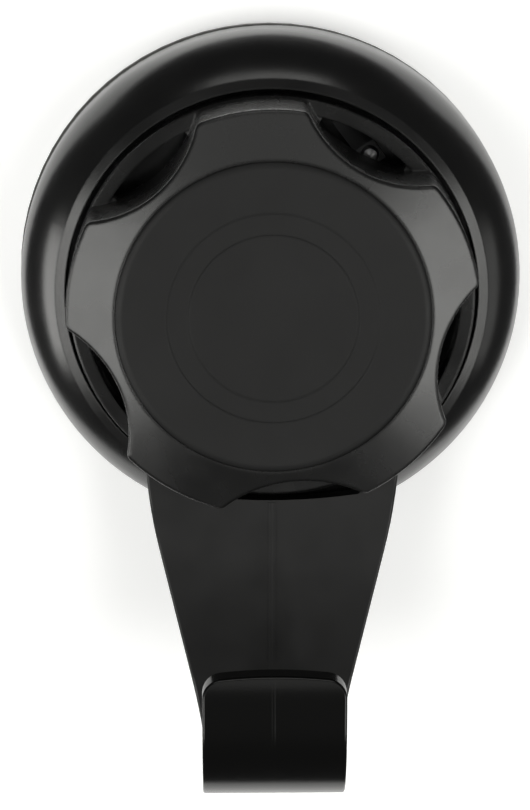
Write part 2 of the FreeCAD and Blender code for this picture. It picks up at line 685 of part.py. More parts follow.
def make_knob():
    depth = "knob_rim - knob_base + face_rise + cut_margin"
    blank = turned("knob_blank", [
        (HUB_INNER, "knob_base"), ("knob_radius", "knob_base"), ("knob_radius", "knob_rim"),
        ("face_radius", FACE_TOP), (CAP_HOLE, FACE_TOP), (CAP_HOLE, CAP_SEAT), (HUB_INNER, CAP_SEAT)])
    lobed = cut("knob_lobed", blank, scallops("scallop", "scallop_radius", "knob_base", depth))
    reach = size("knob_radius")
    corners = [n for n, edge in enumerate(lobed.Shape.Edges, start=1)
               if edge.BoundBox.ZLength > size("base_ring_height") and is_straight(edge)
               and math.hypot(edge.BoundBox.Center.x, edge.BoundBox.Center.y) > reach - CLOSE]
    rounded = doc.addObject("Part::Fillet", "knob_corners")
    rounded.Base = lobed
    rounded.Edges = [(n, size("lobe_rounding"), size("lobe_rounding")) for n in corners]
    doc.recompute()
    rim = [n for n, edge in enumerate(rounded.Shape.Edges, start=1) if on_knob_rim(edge)]
    softened = doc.addObject("Part::Fillet", "knob_softened")
    softened.Base = rounded
    softened.Edges = [(n, size("rim_rounding"), size("rim_rounding")) for n in rim]
    doc.recompute()
    cavity_disc = cut("cavity_disc", cylinder("cavity_outer", "knob_radius - knob_wall",
                                              f"{KNOB_CEILING} - knob_base", z="knob_base"),
                      cylinder("cavity_inner", HUB_OUTER, "knob_rim", z="knob_base"))
    cavity = cut("cavity", cavity_disc,
                 scallops("scallop_wall", "scallop_radius + knob_wall", "knob_base", "knob_rim"))
    shell = cut("knob_shell", softened, cavity)
    ring_outer = "(knob_radius + base_ring_lip)"
    ring_top = "(knob_base + base_ring_height)"
    ring = turned("knob_base_ring", [
        ("knob_radius - base_ring_width", "knob_base"), (f"{ring_outer} - ring_bevel", "knob_base"),
        (ring_outer, "knob_base + ring_bevel"), (ring_outer, f"{ring_top} - ring_bevel"),
        (f"{ring_outer} - ring_bevel", ring_top), ("knob_radius - base_ring_width", ring_top)])
    notch_inner = "(knob_radius - base_ring_width - weld)"
    notch_outer = f"({ring_outer} - ring_bevel - click_depth)"
    notch = pocket_in(ring, "click_notch", "XY_Plane", lambda sketch: outline(sketch, [
        (notch_inner, "-click_width / 2"), (notch_outer, "-click_width / 2"),
        (notch_outer, "click_width / 2"), (notch_inner, "click_width / 2")]),
        "2 * click_depth", offset="knob_base + click_depth")
    repeat(ring, "click_notches", [notch], "click_count")
    web = make_knob_web(ring_top)
    hub = collar("knob_hub", HUB_INNER, HUB_OUTER, HUB_BASE, f"{KNOB_CEILING} + weld")
    stop = collar("knob_hub_flange", "tower_radius + loose_gap", f"{HUB_INNER} + weld",
                  HUB_FLANGE_BASE, HUB_FLANGE_TOP)
    ribs = new_body("knob_ribs")
    rib = pad_on(ribs, "knob_rib", "XZ_Plane", lambda sketch: outline(sketch, [
        (f"{HUB_OUTER} - weld", "knob_base + base_ring_height"),
        ("knob_radius - knob_wall + weld", "knob_base + base_ring_height"),
        ("knob_radius - knob_wall + weld", f"{KNOB_CEILING} + weld"),
        (f"{HUB_OUTER} - weld", f"{KNOB_CEILING} + weld")]), "rib_thickness", symmetric=True)
    repeat(ribs, "knob_rib_set", [rib], "lobe_count")
    bind(ribs, "Placement.Rotation.Angle", "scallop_phase + 180 / lobe_count")
    bosses = new_body("knob_bosses")
    boss = pad_on(bosses, "knob_boss", "XY_Plane", lambda sketch: circle(
        sketch, "0", "cam_screw_circle", "2 * screw_radius + weld"),
        f"{KNOB_CEILING} + weld - {HUB_BASE}", offset=HUB_BASE)
    repeat(bosses, "knob_boss_set", [boss], "3")
    doc.recompute()
    solid = join("knob_solid", [shell, ring, web, hub, stop, ribs, bosses])
    holes = join("knob_screw_holes", [
        cylinder(f"knob_screw_hole_{n}", "screw_radius + seat_gap", "cam_screw_length + cut_margin",
                 f"cam_screw_circle * cos({screw_direction(n)})",
                 f"cam_screw_circle * sin({screw_direction(n)})", CAM_BASE)
        for n in range(3)])
    return cut("knob", solid, holes)


def make_knob_web(ring_top):
    """A web inside the ring, with a window in it behind each scallop."""
    outer = "(knob_radius - base_ring_width + weld)"
    web = collar("knob_web", f"{outer} - web_width", outer, f"{ring_top} - web_thickness",
                 f"{ring_top} - weld")
    window = pocket_in(web, "window", "XY_Plane", lambda sketch: outline(sketch, [
        (f"{outer} - 2 * web_width", "-window_half"), (f"{outer} + weld", "-window_half"),
        (f"{outer} + weld", "window_half"), (f"{outer} - 2 * web_width", "window_half")]),
        "2 * web_thickness", offset=f"{ring_top} + web_thickness / 2")
    repeat(web, "windows", [window], "lobe_count")
    bind(web, "Placement.Rotation.Angle", "scallop_phase")
    return web


def on_knob_rim(edge):
    """True on the outer front edge, which climbs the cone along each scallop."""
    middle = edge.valueAt((edge.FirstParameter + edge.LastParameter) / 2)
    rim, slope = size("knob_rim"), size("face_rise / (knob_radius - face_radius)")
    cone = rim + (size("knob_radius") - math.hypot(middle.x, middle.y)) * slope
    climbs = edge.BoundBox.ZLength > size("knob_rim - knob_base - base_ring_height")
    outside = math.hypot(middle.x, middle.y) > size("face_radius + rim_rounding / 2")
    return not climbs and abs(middle.z - cone) < CLOSE and outside


def make_knob_cap():
    collar_outer = f"({HUB_INNER} - loose_gap)"
    collar_inner = f"({collar_outer} - cap_collar_width)"
    body = turned("knob_cap", [
        ("0", f"{CAP_SEAT} + seat_gap"), (collar_inner, f"{CAP_SEAT} + seat_gap"),
        (collar_inner, f"{CAP_SEAT} - cap_collar_depth"),
        (collar_outer, f"{CAP_SEAT} - cap_collar_depth"), (collar_outer, f"{CAP_SEAT} + seat_gap"),
        ("cap_radius", f"{CAP_SEAT} + seat_gap"), ("cap_radius", "cap_front - cap_drop"),
        ("cap_radius - cap_rounding / 2", "cap_front - cap_drop / 3"),
        ("cap_radius - cap_rounding", "cap_front"), ("0", "cap_front")])

    def ring_outline(sketch):
        circle(sketch, "0", "0", "cap_ring_outer")
        circle(sketch, "0", "0", "cap_ring_inner")

    pocket_in(body, "cap_ring", "XY_Plane", ring_outline, "cap_ring_depth", offset="cap_front")
    return body


def make_knob_retainer():
    body = collar("knob_retainer", BORE, "retainer_radius", "tower_top",
                  "tower_top + retainer_thickness")
    for side in (1, -1):
        where = f"{side} * retainer_screw_circle"
        pocket_in(body, f"retainer_hole_{side + 1}", "XY_Plane",
                  lambda sketch: circle(sketch, "0", where, "retainer_screw_radius + seat_gap"),
                  "2 * retainer_thickness", offset="tower_top + retainer_thickness + cut_margin")
    return body


def make_retainer_screws():
    return fastener("retainer_screws", "retainer_screw_circle", 90, "2",
                    "(tower_top + retainer_thickness)", "retainer_screw_length",
                    "retainer_screw_radius", "(2 * retainer_screw_radius)", "screw_head_height",
                    points_up=False)


# ---------------------------------------------------------------- hook arm
def make_arm_strip():
    """The J seen from the side, trimmed to the outline seen from the front."""
    side_view = new_body("arm_side")
    pad_on(side_view, "arm_strip", "YZ_Plane", lambda sketch: outline(sketch, [
        ("-arm_shoulder + cut_margin", "arm_back"), ("-arm_shoulder + cut_margin", ARM_FRONT),
        ("-bend_level", ARM_FRONT), (f"-bend_level - {BEND_INNER}", HOOK_MIDDLE),
        ("-bend_level", LIP_BACK), ("-lip_top + cut_margin", LIP_BACK),
        ("-lip_top + cut_margin", LIP_FRONT),
        ("-bend_level", LIP_FRONT), (f"-bend_level - {BEND_OUTER}", BEND_MIDDLE),
        ("-bend_level", "arm_back")],
        bends={2: f"-{BEND_INNER}", 3: f"-{BEND_INNER}", 7: BEND_OUTER, 8: BEND_OUTER}),
        "4 * arm_top_half", symmetric=True)
    taper_end = ("tip_half + arm_blend * tan(arm_taper / 2) * sin(arm_taper)",
                 "-tip_level + arm_blend * tan(arm_taper / 2) * cos(arm_taper)")
    tip_start = "-tip_level - arm_blend * tan(arm_taper / 2)"
    below = f"-bend_level - 2 * {BEND_OUTER}"
    plate_view = new_body("arm_front")
    pad_on(plate_view, "arm_plate", "XY_Plane", lambda sketch: outline(sketch, [
        ("arm_top_half", "-arm_shoulder"), ("arm_edge_half", "-arm_edge + arm_edge_rise"),
        ("-arm_edge_half", "-arm_edge + arm_edge_rise"), ("-arm_top_half", "-arm_shoulder"),
        ("-arm_flank_half", "-arm_flank"), (f"-({taper_end[0]})", taper_end[1]),
        ("-tip_half", tip_start), ("-tip_half", below), ("tip_half", below),
        ("tip_half", tip_start), taper_end, ("arm_flank_half", "-arm_flank")],
        bends={1: "-arm_edge_radius", 3: "arm_side_radius", 5: "-arm_blend",
               9: "-arm_blend", 11: "arm_side_radius"}),
        f"{BEND_MIDDLE} - arm_back + lip_thickness", offset="arm_back - lip_thickness")
    shoulder = "(tip_half - lip_corner_radius * (1 - sin(lip_tilt)))"
    lip_crown = f"({shoulder} / sin(lip_tilt))"
    shoulder_level = f"-lip_top - {lip_crown} * (1 - cos(lip_tilt))"
    corner_start = f"{shoulder_level} - lip_corner_radius * cos(lip_tilt)"
    lip_view = new_body("lip_front")
    pad_on(lip_view, "lip_block", "XY_Plane", lambda sketch: outline(sketch, [
        ("-tip_half", below), ("tip_half", below), ("tip_half", corner_start),
        (shoulder, shoulder_level), (f"-{shoulder}", shoulder_level), ("-tip_half", corner_start)],
        bends={2: "lip_corner_radius", 3: lip_crown, 4: "lip_corner_radius"}),
        f"{LIP_FRONT} - {BEND_MIDDLE} + lip_thickness", offset=BEND_MIDDLE)
    doc.recompute()
    strip = join("arm_strip_whole", [common("arm_plate_part", side_view, plate_view),
                                     common("arm_lip_part", side_view, lip_view)])
    strip.Refine = True
    doc.recompute()
    return strip


def make_hook_arm():
    strip = make_arm_strip()
    rounded = doc.addObject("Part::Fillet", "arm_rounded")
    rounded.Base = strip
    rounded.Edges = [(n, size("arm_rounding"), size("arm_rounding"))
                     for n, edge in enumerate(strip.Shape.Edges, start=1) if on_arm_side(edge)]
    doc.recompute()
    foot = new_body("arm_foot")
    foot_level = f"{CROWN_BASE} + crown_radius / 2"
    pad_on(foot, "arm_foot_block", "YZ_Plane", lambda sketch: outline(sketch, [
        ("-arm_edge - foot_setback", foot_level), ("-arm_edge - foot_setback", "arm_back + weld"),
        ("-foot_bottom - foot_sweep", "arm_back + weld"), ("-foot_bottom - foot_sweep", "arm_back"),
        ("-foot_bottom", foot_level)],
        bends={3: "foot_radius"}), "2 * foot_half", symmetric=True)
    rib = new_body("arm_rib")
    pad_on(rib, "arm_rib_block", "XY_Plane", lambda sketch: outline(sketch, [
        ("-arm_rib_half", "-arm_rib_end"), ("arm_rib_half", "-arm_rib_end"),
        ("arm_rib_half", "-arm_edge - arm_rounding"), ("-arm_rib_half", "-arm_edge - arm_rounding")]),
        "arm_rib_height + weld", offset=f"{ARM_FRONT} - weld")
    crown = doc.addObject("Part::Torus", "crown_tool")
    bind(crown, "Radius1", CROWN_CENTRE)
    bind(crown, "Radius2", "crown_radius + seat_gap")
    bind(crown, "Placement.Base.z", CROWN_BASE)
    arm = cut("arm_seated", join("arm_whole", [rounded, foot, rib]), crown)
    holes = join("arm_screw_holes", [
        cylinder(f"arm_screw_hole_{n}", "screw_radius + seat_gap", "hook_screw_length + seat_gap",
                 *hook_screw_place(side), CEILING)
        for n, side in enumerate((1, -1))])
    return cut("hook_arm", arm, holes)


def on_arm_side(edge):
    """True on the long edges down both sides of the strip and round the top of the lip."""
    box = edge.BoundBox
    across = box.XLength > size("arm_edge_half")
    front_back = box.ZLength > size("arm_thickness") - CLOSE and box.YLength < CLOSE
    top = box.YMin > size("-arm_edge - arm_edge_rise - cut_margin")
    return not front_back and not (across and box.YMin < size("-bend_level")) and not top


def make_hook_screws():
    """Two screws from behind, through the crown into the foot of the arm."""
    body = new_body("hook_screws")
    across, down = hook_screw_place(1)
    spread = new_sketch(body, "head_outline", "XY_Plane",
                        f"{CEILING} - seat_gap - screw_head_height")
    circle(spread, across, down, "screw_head_radius")
    circle(spread, *hook_screw_place(-1), "screw_head_radius")
    heads = body.newObject("PartDesign::Pad", "heads")
    heads.Profile = spread
    bind(heads, "Length", "screw_head_height")
    shank_sketch = new_sketch(body, "shank_outline", "XY_Plane", f"{CEILING} - seat_gap")
    circle(shank_sketch, across, down, "screw_radius")
    circle(shank_sketch, *hook_screw_place(-1), "screw_radius")
    shanks = body.newObject("PartDesign::Pad", "shanks")
    shanks.Profile = shank_sketch
    bind(shanks, "Length", "hook_screw_length")
    doc.recompute()
    return body


# ---------------------------------------------------------------- click pawl
def make_click_pawl():
    """A sprung leaf with a wedge end that clicks along the notches behind the knob ring."""
    body = new_body("click_pawl")
    top = "(knob_base - loose_gap)"
    foot_top = "(floor_level + seat_gap + pawl_thickness)"
    pad_on(body, "pawl_leaf", "XZ_Plane", lambda sketch: outline(sketch, [
        ("-pawl_width / 2", "floor_level + seat_gap"),
        ("(pawl_width + pawl_thickness) / 2", "floor_level + seat_gap"),
        ("pawl_length - pawl_thickness", f"{top} - 2 * pawl_thickness"),
        ("pawl_length", f"{top} - 2 * pawl_thickness"), ("pawl_length", top),
        ("pawl_length - 2 * pawl_thickness", f"{top} - pawl_thickness"),
        ("pawl_width / 2", foot_top), ("-pawl_width / 2", foot_top)]), "pawl_width", symmetric=True)
    pocket_in(body, "pawl_screw_hole", "XY_Plane",
              lambda sketch: circle(sketch, "0", "0", "screw_radius + seat_gap"),
              "knob_rim", offset="knob_rim")
    return body


def make_pawl_screw():
    """A round-headed screw that holds the foot of the pawl to the recess floor."""
    under_head = "(floor_level + 2 * seat_gap + pawl_thickness)"
    head = "(3 * screw_head_radius / 4)"
    return turned("pawl_screw", [
        ("0", "floor_level - floor_thickness"),
        ("screw_radius", "floor_level - floor_thickness + screw_radius / 2"),
        ("screw_radius", under_head), (head, under_head),
        (f"{head} - screw_head_height / 3", f"{under_head} + 2 * screw_head_height / 3"),
        ("0", f"{under_head} + screw_head_height")])


PAWL_PLACE = Placement(
    Vector(size("pawl_reach * cos(pawl_direction)"), size("pawl_reach * sin(pawl_direction)"), 0),
    Rotation(Vector(0, 0, 1), size("pawl_direction + pawl_slant")))

PARTS = [
    make_gel_layer(), make_suction_pad(), make_pad_core(), make_draw_stud(), make_spring_washer(),
    make_housing(), make_stud_bush(), make_thrust_washer(), make_cam_screws(), make_cross_pin(),
    make_pin_rollers(), make_knob(), make_knob_cap(), make_knob_retainer(), make_retainer_screws(),
    make_hook_arm(), make_hook_screws(),
]
for part in PARTS:
    part.Placement = WALL_MOUNTED * part.Placement
for part in (make_click_pawl(), make_pawl_screw()):
    part.Placement = WALL_MOUNTED * PAWL_PLACE
    PARTS.append(part)
PARTS += [make_return_spring(), make_cam_ring()]
doc.recompute()

for item in doc.Objects:
    if "Invalid" in item.State or "Error" in item.State:
        raise RuntimeError(f"{item.Name} did not build: {item.State}")
for part in PARTS:
    if part.Shape.isNull() or not part.Shape.isValid():
        raise RuntimeError(f"{part.Label} has no valid shape")

os.makedirs("parts", exist_ok=True)
for part in PARTS:
    part.Shape.exportStep(f"parts/{part.Label}.step")
    print(f"{part.Label}: {len(part.Shape.Solids)} solid(s), {part.Shape.Volume:.1f} mm3")
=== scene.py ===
"""Looks of the twist-lock suction hook: materials, soft pieces, backdrop, lamps and camera.

Lengths are in metres, and in millimetres where a comment says so. The wall is the plane y = 0, the object
stands out from it towards -y, and z is up.
"""
import math

import bpy
from mathutils import Matrix, Vector


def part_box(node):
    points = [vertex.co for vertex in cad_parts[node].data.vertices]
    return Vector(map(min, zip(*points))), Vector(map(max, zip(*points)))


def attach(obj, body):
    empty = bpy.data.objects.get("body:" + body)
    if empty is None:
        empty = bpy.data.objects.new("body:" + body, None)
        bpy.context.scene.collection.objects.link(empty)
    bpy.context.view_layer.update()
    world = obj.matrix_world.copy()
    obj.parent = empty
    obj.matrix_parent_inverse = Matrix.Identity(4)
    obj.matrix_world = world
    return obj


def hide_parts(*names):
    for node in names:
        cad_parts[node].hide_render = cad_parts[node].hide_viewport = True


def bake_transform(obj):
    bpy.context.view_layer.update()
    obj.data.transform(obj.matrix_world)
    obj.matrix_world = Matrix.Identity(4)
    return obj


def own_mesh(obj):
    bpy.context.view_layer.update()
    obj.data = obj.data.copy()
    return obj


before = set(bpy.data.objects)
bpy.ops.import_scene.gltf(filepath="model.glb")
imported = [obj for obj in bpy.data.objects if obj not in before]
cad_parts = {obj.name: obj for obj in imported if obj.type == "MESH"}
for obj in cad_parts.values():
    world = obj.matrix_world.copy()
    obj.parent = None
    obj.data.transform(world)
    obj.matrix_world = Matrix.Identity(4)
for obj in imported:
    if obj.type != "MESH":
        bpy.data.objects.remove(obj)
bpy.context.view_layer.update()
scene = bpy.context.scene


# ------------------------------------------------------------------ shader nodes
def new_material(name):
    """A material, its node tree and its Principled shader."""
    material = bpy.data.materials.new(name)
    material.use_nodes = True
    tree = material.node_tree
    return material, tree, tree.nodes["Principled BSDF"]


def feed(tree, node, inputs):
    """Sets each input to a number or a colour, or links it to another node's output."""
    for name, value in inputs.items():
        if isinstance(value, bpy.types.NodeSocket):
            tree.links.new(value, node.inputs[name])
        else:
            node.inputs[name].default_value = value


def add(tree, kind, inputs, **settings):
    """A new node. Its settings go first, because they decide which inputs it has."""
    node = tree.nodes.new(kind)
    for name, value in settings.items():
        setattr(node, name, value)
    feed(tree, node, inputs)
    return node


def calculate(tree, operation, first, second=0.0, clamp=False):
    """The result of a Math node; each term is a number or an output."""
    return add(tree, "ShaderNodeMath", {0: first, 1: second},
               operation=operation, use_clamp=clamp).outputs[0]


def ranged(tree, source, low, high, result_low=0.0, result_high=1.0, smooth=False):
    """Runs from result_low to result_high while source runs from low to high."""
    return add(tree, "ShaderNodeMapRange",
               {"Value": source, "From Min": low, "From Max": high,
                "To Min": result_low, "To Max": result_high},
               interpolation_type="SMOOTHSTEP" if smooth else "LINEAR").outputs["Result"]


def own_place(tree):
    """Coordinates fixed to the piece."""
    return add(tree, "ShaderNodeTexCoord", {}).outputs["Object"]


def noise(tree, place, scale, detail=2.0, roughness=0.5):
    return add(tree, "ShaderNodeTexNoise",
               {"Vector": place, "Scale": scale, "Detail": detail,
                "Roughness": roughness}).outputs["Fac"]


# the part of a noise texture's range that is spread over a roughness, and the part that is
# spread from the dark tone to the pale one
NOISE_SPAN = (0.3, 0.7)
RAMP_STOPS = (0.35, 0.65)


def spread(tree, source, low, high):
    """A number between low and high that follows a noise texture."""
    return ranged(tree, source, *NOISE_SPAN, low, high)


def shade(tree, source, dark, pale):
    """A colour between dark and pale that follows a noise texture."""
    ramp = add(tree, "ShaderNodeValToRGB", {"Fac": source})
    for stop, position, tone in zip(ramp.color_ramp.elements, RAMP_STOPS, (dark, pale)):
        stop.position = position
        stop.color = (*tone, 1)
    return ramp.outputs["Color"]


# ------------------------------------------------------------------ materials
CLOUD_SCALE = 38             # flow clouding, a few patches across the disc
GLOSS_SCALE = 160            # patches of slightly different gloss
GRAIN_SCALE = 2600
GRAIN_DEPTH = 0.0001         # also that of the plating's turning marks
BEVEL_SAMPLES = 4


def moulded(name, dark, pale, rough, grain_scale=GRAIN_SCALE, grain=0.06, specular=0.5, edge=0.0):
    """Moulded plastic or rubber: fine grain, faint flow clouding and slightly uneven gloss.

    edge is the radius to which edges look softened; 0 leaves them sharp.
    """
    material, tree, surface = new_material(name)
    place = own_place(tree)
    cloud = noise(tree, place, CLOUD_SCALE, detail=3.0, roughness=0.6)
    uneven = noise(tree, place, GLOSS_SCALE, detail=3.0)
    bump = add(tree, "ShaderNodeBump",
               {"Strength": grain, "Distance": GRAIN_DEPTH,
                "Height": noise(tree, place, grain_scale)})
    if edge:
        softened = add(tree, "ShaderNodeBevel", {"Radius": edge}, samples=BEVEL_SAMPLES)
        feed(tree, bump, {"Normal": softened.outputs["Normal"]})
    feed(tree, surface, {"Base Color": shade(tree, cloud, dark, pale),
                         "Roughness": spread(tree, uneven, *rough),
                         "Specular IOR Level": specular,
                         "Normal": bump.outputs["Normal"]})
    return material


LIP_FADE = (-0.052, -0.042)  # y from the lip's outer face back to where the arm's own look is full
LEAN_FROM = 0.0685           # the lip's face starts to lean back this far below the axis
LEAN = -20.0                 # times the square of the height above that level
ARM_MIDDLE = -0.0002         # x of the arm's middle
SEAM_EDGE = (0.0004, 0.0001)  # half widths between which the parting line rises
SEAM_HEIGHT = 0.000012       # on the arm; twice as much on the lip


def polish_lip(material, tone, rough):
    """Makes the outer face of the lip glossier, leans its top back and raises the parting line."""
    tree = material.node_tree
    surface = tree.nodes["Principled BSDF"]

    def source(name):
        return surface.inputs[name].links[0].from_socket

    place = next(node for node in tree.nodes if node.type == "TEX_COORD").outputs["Object"]
    x, y, z = add(tree, "ShaderNodeSeparateXYZ", {0: place}).outputs
    plate = ranged(tree, y, *LIP_FADE, smooth=True)
    colour = add(tree, "ShaderNodeMix",
                 {"Factor": plate, "A": (*tone, 1), "B": source("Base Color")}, data_type="RGBA")
    gloss = add(tree, "ShaderNodeMix", {"Factor": plate, "A": rough, "B": source("Roughness")})
    above = calculate(tree, "MAXIMUM", calculate(tree, "ADD", z, LEAN_FROM), 0.0)
    lean = calculate(tree, "MULTIPLY", calculate(tree, "MULTIPLY", above, above), LEAN)
    aside = calculate(tree, "ABSOLUTE", calculate(tree, "SUBTRACT", x, ARM_MIDDLE))
    seam = calculate(tree, "MULTIPLY", ranged(tree, aside, *SEAM_EDGE, smooth=True), SEAM_HEIGHT)
    face = calculate(tree, "SUBTRACT", 1.0, plate)
    line = calculate(tree, "MULTIPLY", seam, calculate(tree, "ADD", face, 1.0))
    height = calculate(tree, "ADD", calculate(tree, "MULTIPLY", lean, face), line)
    bump = add(tree, "ShaderNodeBump", {"Distance": 1.0, "Height": height})
    feed(tree, source("Normal").node, {"Normal": bump.outputs["Normal"]})
    feed(tree, surface, {"Base Color": colour.outputs["Result"],
                         "Roughness": gloss.outputs["Result"]})


MOTTLE_SCALE = 300
MOTTLE_DARK = 0.8            # of the plating's tone
RING_SCALE = 900
RING_DISTORTION = 1.5
RING_BUMP = 0.15


def plated(name, tone, rough):
    """Machined, plated steel: fine turning marks over slightly mottled zinc."""
    material, tree, surface = new_material(name)
    place = own_place(tree)
    mottle = noise(tree, place, MOTTLE_SCALE, detail=4.0)
    dark = tuple(MOTTLE_DARK * part for part in tone)
    rings = add(tree, "ShaderNodeTexWave",
                {"Vector": place, "Scale": RING_SCALE, "Distortion": RING_DISTORTION},
                wave_type="RINGS", rings_direction="Y")
    bump = add(tree, "ShaderNodeBump",
               {"Strength": RING_BUMP, "Distance": GRAIN_DEPTH, "Height": rings.outputs["Fac"]})
    feed(tree, surface, {"Base Color": shade(tree, mottle, dark, tone),
                         "Roughness": spread(tree, mottle, *rough),
                         "Metallic": 1.0,
                         "Normal": bump.outputs["Normal"]})
    return material


# name, dark tone, pale tone, range of roughness
SHELL = moulded("shell_black", (0.0035, 0.0035, 0.0035), (0.0050, 0.0050, 0.0049), (0.21, 0.26),
                edge=0.0004)
KNOB = moulded("knob_black", (0.0045, 0.0045, 0.0045), (0.0060, 0.0060, 0.0059), (0.24, 0.29),
               edge=0.0005)
CAP = moulded("cap_black", (0.0073, 0.0073, 0.0073), (0.0092, 0.0092, 0.0092), (0.46, 0.54),
              grain_scale=4200, grain=0.12, specular=0.2, edge=0.0007)
ARM = moulded("arm_black", (0.0052, 0.0052, 0.0052), (0.0068, 0.0068, 0.0068), (0.36, 0.42),
              specular=0.30)
polish_lip(ARM, tone=(0.0020, 0.0020, 0.0019), rough=0.20)
PAD = moulded("pad_rubber", (0.030, 0.030, 0.027), (0.045, 0.045, 0.041), (0.50, 0.62),
              grain_scale=1500, grain=0.2)
GEL = moulded("gel_smoke", (0.10, 0.10, 0.095), (0.14, 0.14, 0.13), (0.16, 0.24),
              grain_scale=700, grain=0.15, specular=0.6)
ACETAL = moulded("acetal_black", (0.014, 0.014, 0.015), (0.020, 0.020, 0.021), (0.38, 0.48))
CORE = moulded("core_grey", (0.050, 0.050, 0.052), (0.066, 0.066, 0.068), (0.42, 0.52))
STEEL = plated("steel_zinc", (0.56, 0.56, 0.57), (0.26, 0.40))

# the pieces that aren't listed are steel
FINISH = {
    "housing": (SHELL, "black_shell"), "hook_arm": (ARM, "black_shell"),
    "knob": (KNOB, "black_knob"), "knob_cap": (CAP, "black_cap"),
    "suction_pad": (PAD, "pad_rubber"), "gel_layer": (GEL, "gel"),
    "cam_ring": (ACETAL, "cam_plastic"), "pin_rollers": (ACETAL, "cam_plastic"),
    "stud_bush": (ACETAL, "cam_plastic"), "click_pawl": (ACETAL, "cam_plastic"),
    "pad_core": (CORE, "core_plastic"),
}


def finish_with(obj, material, slot_name):
    obj.data.materials.clear()
    obj.data.materials.append(material)


for node_name, node_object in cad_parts.items():
    finish_with(node_object, *FINISH.get(node_name, (STEEL, "steel")))


# ------------------------------------------------------------------ soft pieces, in millimetres
MM = 0.001
SMOOTH_BELOW = math.radians(38)  # edges that turn by more than this look sharp


def ring_faces(rings, count):
    """Quads between rings of count corners each; every ring closes on itself."""
    faces = []
    for ring in range(rings):
        for corner in range(count):
            a, b = ring * count + corner, ring * count + (corner + 1) % count
            faces.append((a, b, b + count, a + count))
    return faces


def mesh_piece(name, corners, faces, material, slot_name):
    data = bpy.data.meshes.new(name)
    data.from_pydata([tuple(MM * part for part in corner) for corner in corners], [], faces)
    data.update()
    data.shade_smooth()
    data.set_sharp_from_angle(angle=SMOOTH_BELOW)
    obj = bpy.data.objects.new(name, data)
    scene.collection.objects.link(obj)
    finish_with(obj, material, slot_name)
    return obj


SECTORS = 12
STEPS = 6                    # facets to a sector
DISC_MIDDLE = -0.25          # x of the axis of pad and gel


def soft_sector(name, section, number, material, slot_name, node):
    """One sector of a turned disc, from its half section as (radius, depth off the wall)."""
    first = 2 * math.pi * number / SECTORS
    corners = []
    for step in range(STEPS + 1):
        angle = first + 2 * math.pi / SECTORS * step / STEPS
        corners += [(DISC_MIDDLE + r * math.cos(angle), -d, r * math.sin(angle)) for r, d in section]
    obj = mesh_piece(name, corners, ring_faces(STEPS, len(section)), material, slot_name)
    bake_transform(obj)
    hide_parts(node)


def along(start, stop, count):
    """Evenly spaced values from start towards stop, without stop."""
    return [start + (stop - start) * k / count for k in range(count)]


def pad_section():
    """Half section of the pad: flat back, two-step rim, ringed membrane, lip round the core."""
    back = [(r, 0.82) for r in along(0.05, 14, 2) + along(14, 41, 18) + [41.0, 44.6]]
    rim = [(45.0, 0.9), (45.15, 1.1), (45.15, 1.75), (44.85, 1.85), (44.85, 1.95), (45.15, 2.05),
           (45.15, 2.45), (45.0, 2.75), (44.7, 2.92), (44.3, 3.0), (42.2, 3.0), (41.8, 2.9)]
    membrane = [(41.2, 2.3), (40.9, 2.2)]
    for r in along(39.5, 17.5, 11):
        membrane += [(r, 2.2), (r - 0.5, 2.32), (r - 1.0, 2.2)]
    lip = [(16.9, 2.2), (16.2, 2.5), (16.0, 3.6), (15.6, 4.0), (14.7, 4.0), (14.3, 3.7), (14.3, 2.2),
           (7.0, 2.2), (0.05, 2.2)]
    return back + rim + membrane + lip


def gel_section():
    """Half section of the gel: its face, a shallow groove inside its rounded edge, and its back."""
    face = [(r, 0.02) for r in along(0.05, 14, 2) + along(14, 40, 18)]
    edge = [(40.0, 0.02), (42.6, 0.02), (42.8, 0.12), (43.1, 0.12), (43.3, 0.02), (44.3, 0.02),
            (44.65, 0.12), (44.8, 0.35), (44.75, 0.6), (44.5, 0.78)]
    return face + edge + [(r, 0.78) for r in along(44, 14, 18) + [14.0, 0.05]]


for number in range(SECTORS):
    soft_sector(f"pad_sector_{number:02d}", pad_section(), number, PAD, "pad_rubber", "suction_pad")
    soft_sector(f"gel_sector_{number:02d}", gel_section(), number, GEL, "gel", "gel_layer")

WIRE = 0.8
COIL_TURNS = 3
COIL_WIDE, COIL_NARROW = 11.0, 6.2  # radius of the wire's middle at the pad, and at the far end
STEPS_PER_TURN, WIRE_SIDES = 40, 12


def coil(name, first_level, last_level):
    """A conical compression spring that runs flat at both ends; levels are depths off the wall."""
    steps = STEPS_PER_TURN * COIL_TURNS
    corners = []
    for step in range(steps + 1):
        share = step / steps
        turn = 2 * math.pi * COIL_TURNS * share
        radius = COIL_WIDE + (COIL_NARROW - COIL_WIDE) * share
        level = first_level + (last_level - first_level) * (3 * share ** 2 - 2 * share ** 3)
        for side in range(WIRE_SIDES):
            lean = 2 * math.pi * side / WIRE_SIDES
            r = radius + WIRE / 2 * math.cos(lean)
            corners.append((r * math.cos(turn), -level - WIRE / 2 * math.sin(lean),
                            r * math.sin(turn)))
    faces = ring_faces(steps, WIRE_SIDES)
    faces.append(tuple(range(WIRE_SIDES)))
    faces.append(tuple(reversed(range(steps * WIRE_SIDES, (steps + 1) * WIRE_SIDES))))
    return mesh_piece(name, corners, faces, STEEL, "steel")


spring_low, spring_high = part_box("return_spring")
spring = coil("spring_coil", -spring_high[1] / MM + WIRE / 2, -spring_low[1] / MM - WIRE / 2)
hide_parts("return_spring")
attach(spring, "root")
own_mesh(spring)

